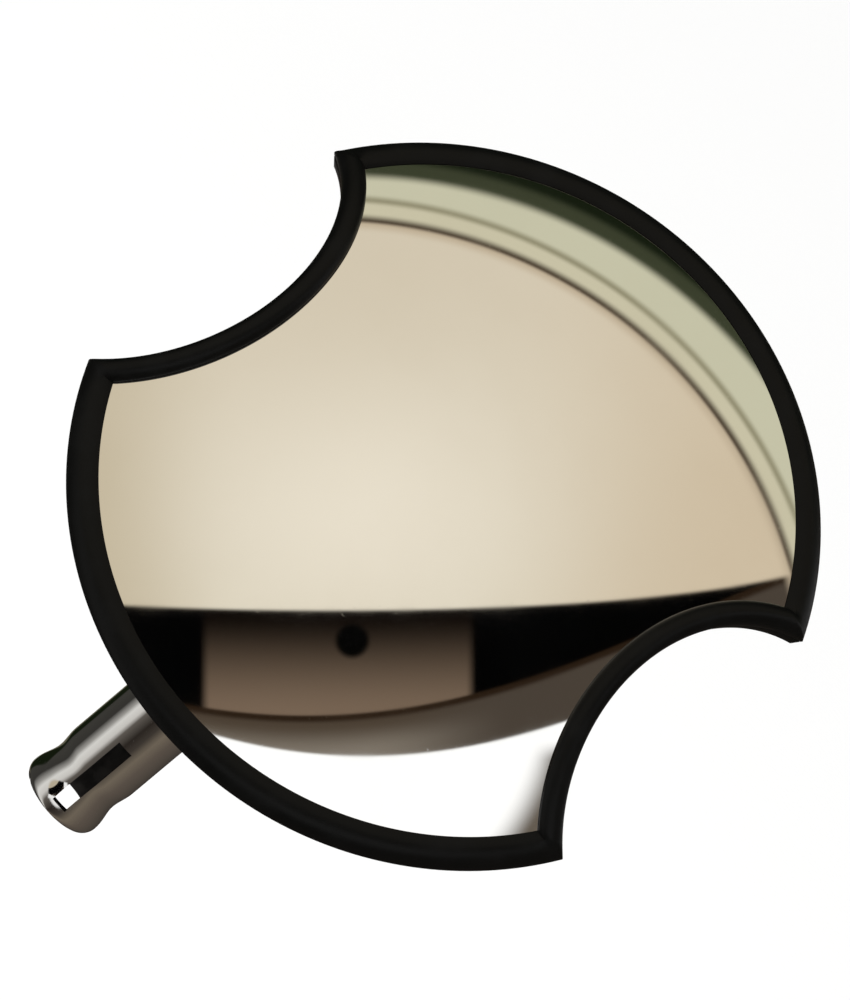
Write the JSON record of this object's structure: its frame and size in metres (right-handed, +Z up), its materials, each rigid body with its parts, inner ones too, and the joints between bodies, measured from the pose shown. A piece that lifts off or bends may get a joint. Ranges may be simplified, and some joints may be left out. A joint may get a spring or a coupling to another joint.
{
  "type": "convex security mirror",
  "caption": "Convex dome mirror with two scalloped sides and a black edge trim, on a tilting, swivelling chrome arm with a pole socket.",
  "frame": {"origin": "centre of the arm's open mouth, on the pole's axis", "axes": "+Z up the arm, away from the mouth; the mirror faces -Y and upwards; +X towards the side of the clamp knob"},
  "size_m": [0.2844, 0.2022, 0.3373],
  "materials": {
    "mirror_face": "polished, slightly warm mirror behind clear acrylic",
    "black_trim": "satin black flexible trim",
    "black_pan": "fine moulded grain",
    "chrome_tube": "bright polished chrome plate",
    "black_casting": "black powder coat",
    "black_knob": "moulded nylon",
    "brass_insert": "turned",
    "zinc_steel": "bright zinc plated",
    "plate_steel": "zinc plated sheet",
    "white_nylon": "natural nylon",
    "friction_fibre": "pressed fibre",
    "foam": "closed-cell foam tape"
  },
  "bodies": {
    "arm": {"socket_tube": "chrome_tube", "pole_stop": "zinc_steel", "swivel_bush": "white_nylon", "bush_screws": "zinc_steel"},
    "neck": {"neck_casting": "black_casting", "stem_washer": "zinc_steel", "stem_nut": "zinc_steel", "pivot_bolt": "zinc_steel", "friction_disc": "friction_fibre", "knob_washer": "zinc_steel"},
    "knob": {"clamp_knob": "black_knob", "knob_insert": "brass_insert", "knob_cap": "black_knob"},
    "bracket": {"tilt_bracket": "black_casting", "ear_bush": "white_nylon", "turn_disc": "friction_fibre"},
    "head": {"hub_screw": "zinc_steel", "hub_nut": "zinc_steel", "back_plate": "plate_steel", "inner_plate": "plate_steel", "plate_screws": "zinc_steel", "plate_nuts": "zinc_steel", "back_pan": "black_pan", "foam_strip": "foam", "mirror_dome": "mirror_face", "outer_trim": "black_trim", "bite_trim": "black_trim"}
  },
  "joints": [
    {"name": "swivel", "type": "hinge", "parent": "arm", "child": "neck", "pos_m": [0, 0, 0.152], "axis": [0, 0, 1], "continuous": true},
    {"name": "tilt", "type": "hinge", "parent": "neck", "child": "bracket", "pos_m": [0, 0, 0.194], "axis": [1, 0, 0], "range_deg": [-45, 41.5]},
    {"name": "head_turn", "type": "hinge", "parent": "bracket", "child": "head", "pos_m": [0.0143, -0.03617, 0.22601], "axis": [0, -0.749, 0.6626], "continuous": true},
    {"name": "knob_turn", "type": "hinge", "parent": "neck", "child": "knob", "pos_m": [0, 0, 0.194], "axis": [1, 0, 0], "range_deg": [0, 360]}
  ]
}
